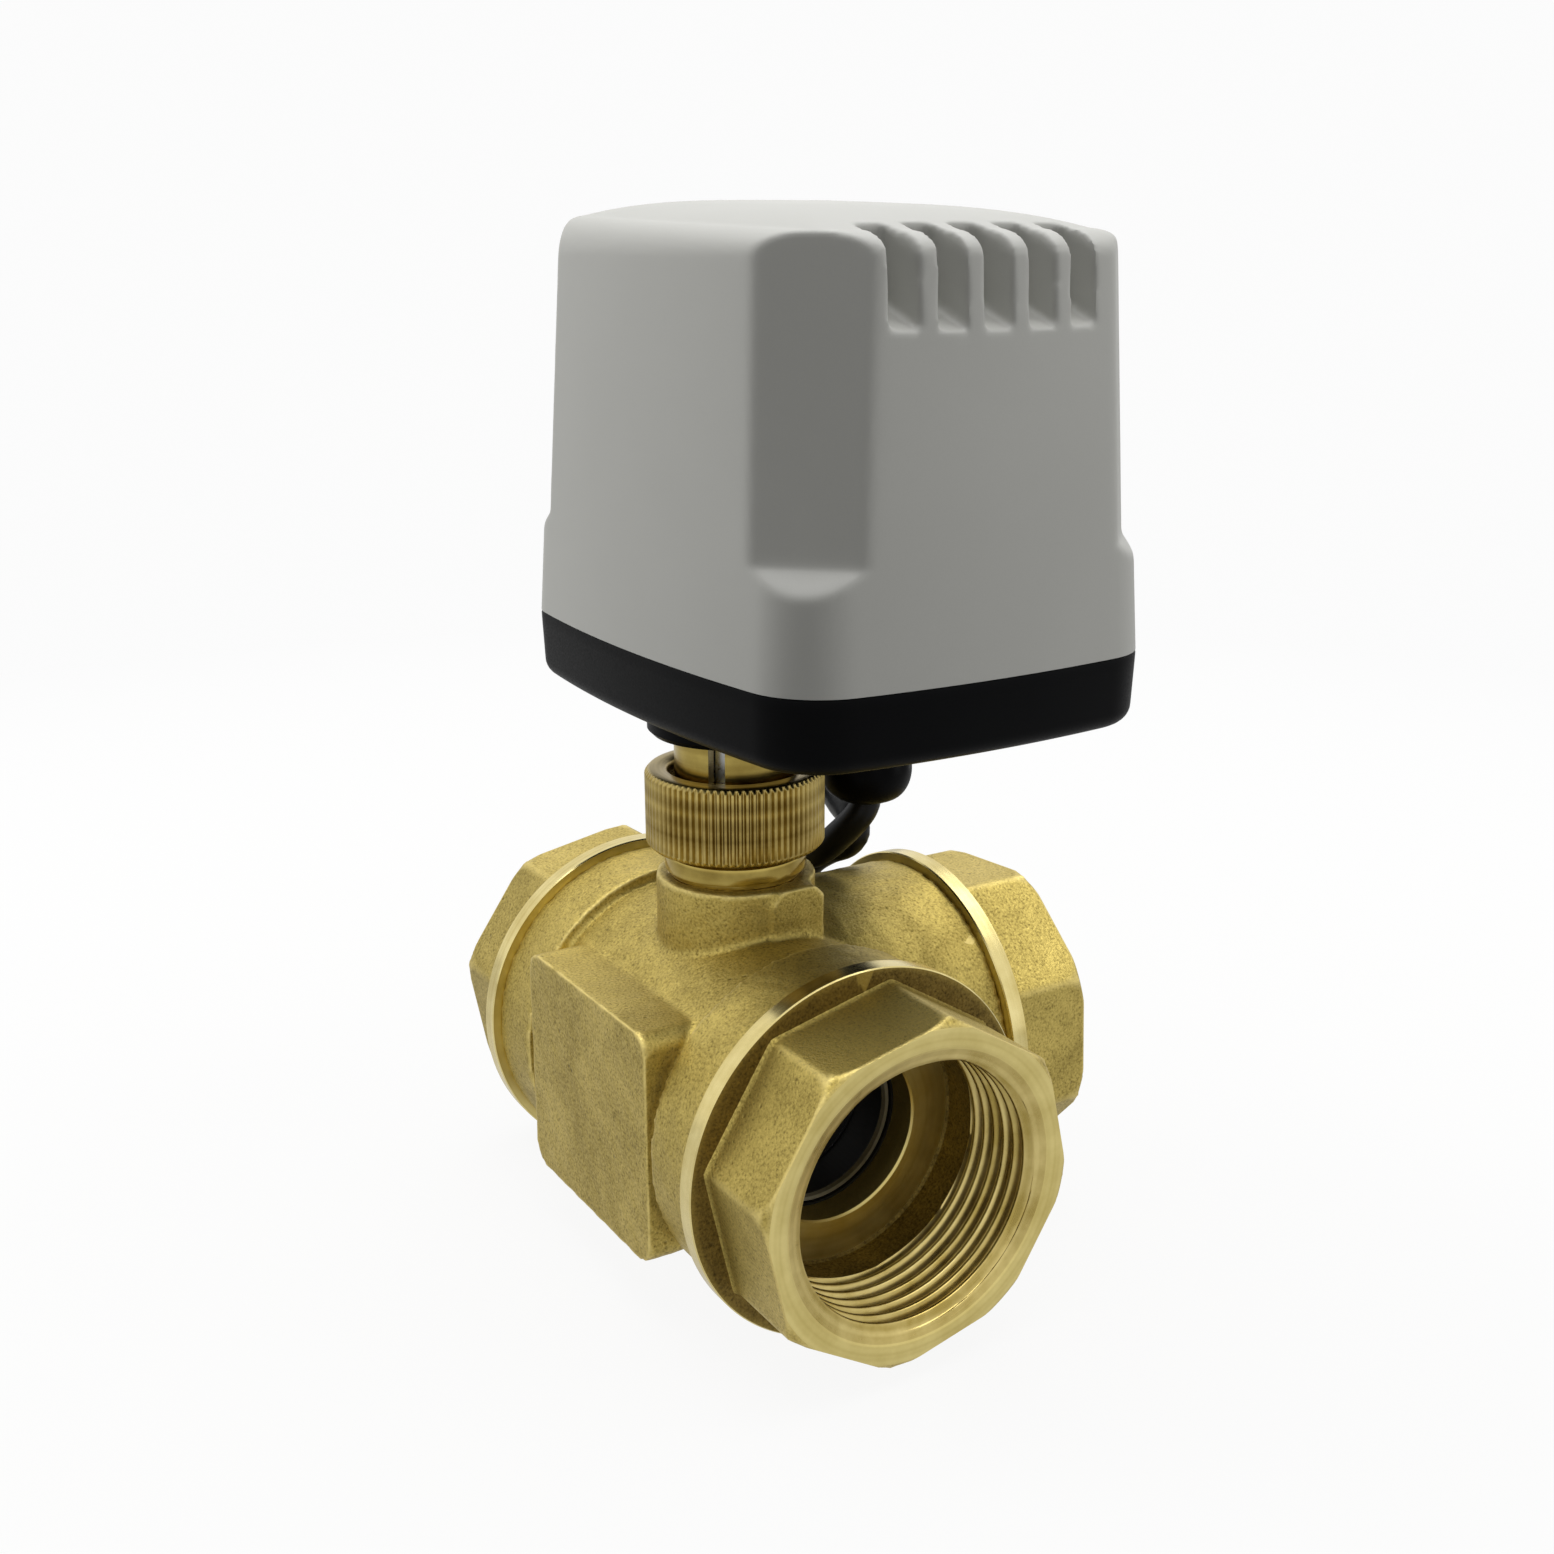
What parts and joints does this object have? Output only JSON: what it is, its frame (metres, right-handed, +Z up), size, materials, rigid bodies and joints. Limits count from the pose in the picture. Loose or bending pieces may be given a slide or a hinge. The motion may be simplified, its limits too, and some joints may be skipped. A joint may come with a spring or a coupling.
{
  "type": "motorized three-way ball valve",
  "caption": "Three-way ball valve with a cast tee body, threaded octagonal end caps, a knurled union nut and an electric gear actuator in a tall case on top.",
  "frame": {"origin": "the point where the axes of the three ports cross, on the axis of the stem", "axes": "+X along the front port, +Y along the branch port, +Z up the stem to the actuator"},
  "size_m": [0.1439, 0.12, 0.1628],
  "materials": {
    "cast_brass": "sand-cast, blasted, faintly grainy",
    "machined_brass": "turned, fine lathe lines",
    "ball_chrome": "polished chrome plate",
    "ptfe": "smooth, waxy white",
    "black_rubber": "smooth",
    "steel": "plain",
    "cover_grey": "fine moulded grain",
    "base_black": "fine moulded grain",
    "gear_nylon": "smooth",
    "motor_can": "zinc plated",
    "board": "lacquered",
    "switch_black": "smooth",
    "terminal_green": "smooth",
    "capacitor_blue": "shrink sleeve",
    "cable_black": "smooth sheath",
    "wire_cores": "brown, green-yellow and blue cores with bare copper tips"
  },
  "bodies": {
    "valve": {"valve_body": "cast_brass", "front_end_cap": "cast_brass", "rear_end_cap": "cast_brass", "branch_end_cap": "cast_brass", "cap_seals": "black_rubber", "ball_seats": "ptfe", "seat_rings": "black_rubber", "stem_packing": "ptfe", "packing_nut": "machined_brass", "adapter_sleeve": "machined_brass", "base_housing": "base_black", "case_gasket": "black_rubber", "cover": "cover_grey", "case_screws": "steel", "lower_plate": "steel", "upper_plate": "steel", "plate_pillars": "machined_brass", "output_bush": "machined_brass", "idler_pin": "steel", "motor": "motor_can", "motor_screws": "steel", "limit_switches": "switch_black", "switch_levers": "steel", "board_posts": "gear_nylon", "circuit_board": "board", "terminal_block": "terminal_green", "capacitor": "capacitor_blue", "relay": "capacitor_blue", "gland_body": "base_black", "gland_locknut": "base_black", "gland_seal": "black_rubber", "inner_lead": "cable_black", "power_cable": "cable_black", "cable_coil": "cable_black", "cable_tie": "cable_black", "wire_ends": "wire_cores"},
    "turning_train": {"ball": "ball_chrome", "stem": "steel", "stem_seals": "black_rubber", "output_shaft": "steel", "output_gear": "gear_nylon", "limit_cam": "gear_nylon"},
    "idler": {"idler_gear": "gear_nylon"},
    "pinion": {"motor_pinion": "machined_brass"},
    "union": {"union_nut": "machined_brass"},
    "gland": {"gland_nut": "base_black"}
  },
  "joints": [
    {"name": "valve_turn", "type": "hinge", "parent": "valve", "child": "turning_train", "pos_m": [0, 0, 0.02], "axis": [0, 0, 1], "range_deg": [0, 90]},
    {"name": "idler_turn", "type": "hinge", "parent": "valve", "child": "idler", "pos_m": [0.01571, 0.0154, 0.075], "axis": [0, 0, 1], "range_deg": [-240.01, 0.01]},
    {"name": "pinion_turn", "type": "hinge", "parent": "valve", "child": "pinion", "pos_m": [0.0328, 0.005, 0.08], "axis": [0, 0, 1], "range_deg": [-0.1, 617.2]},
    {"name": "union_nut_turn", "type": "hinge", "parent": "valve", "child": "union", "pos_m": [0, 0, 0.044], "axis": [0, 0, 1], "continuous": true},
    {"name": "gland_nut_turn", "type": "hinge", "parent": "valve", "child": "gland", "pos_m": [0.0005, 0.0242, 0.05], "axis": [0, 0, 1], "continuous": true}
  ],
  "couplings": [
    {"joint": "idler_turn", "follows": "valve_turn", "ratio": -2.6667},
    {"joint": "pinion_turn", "follows": "valve_turn", "ratio": 6.8571}
  ]
}
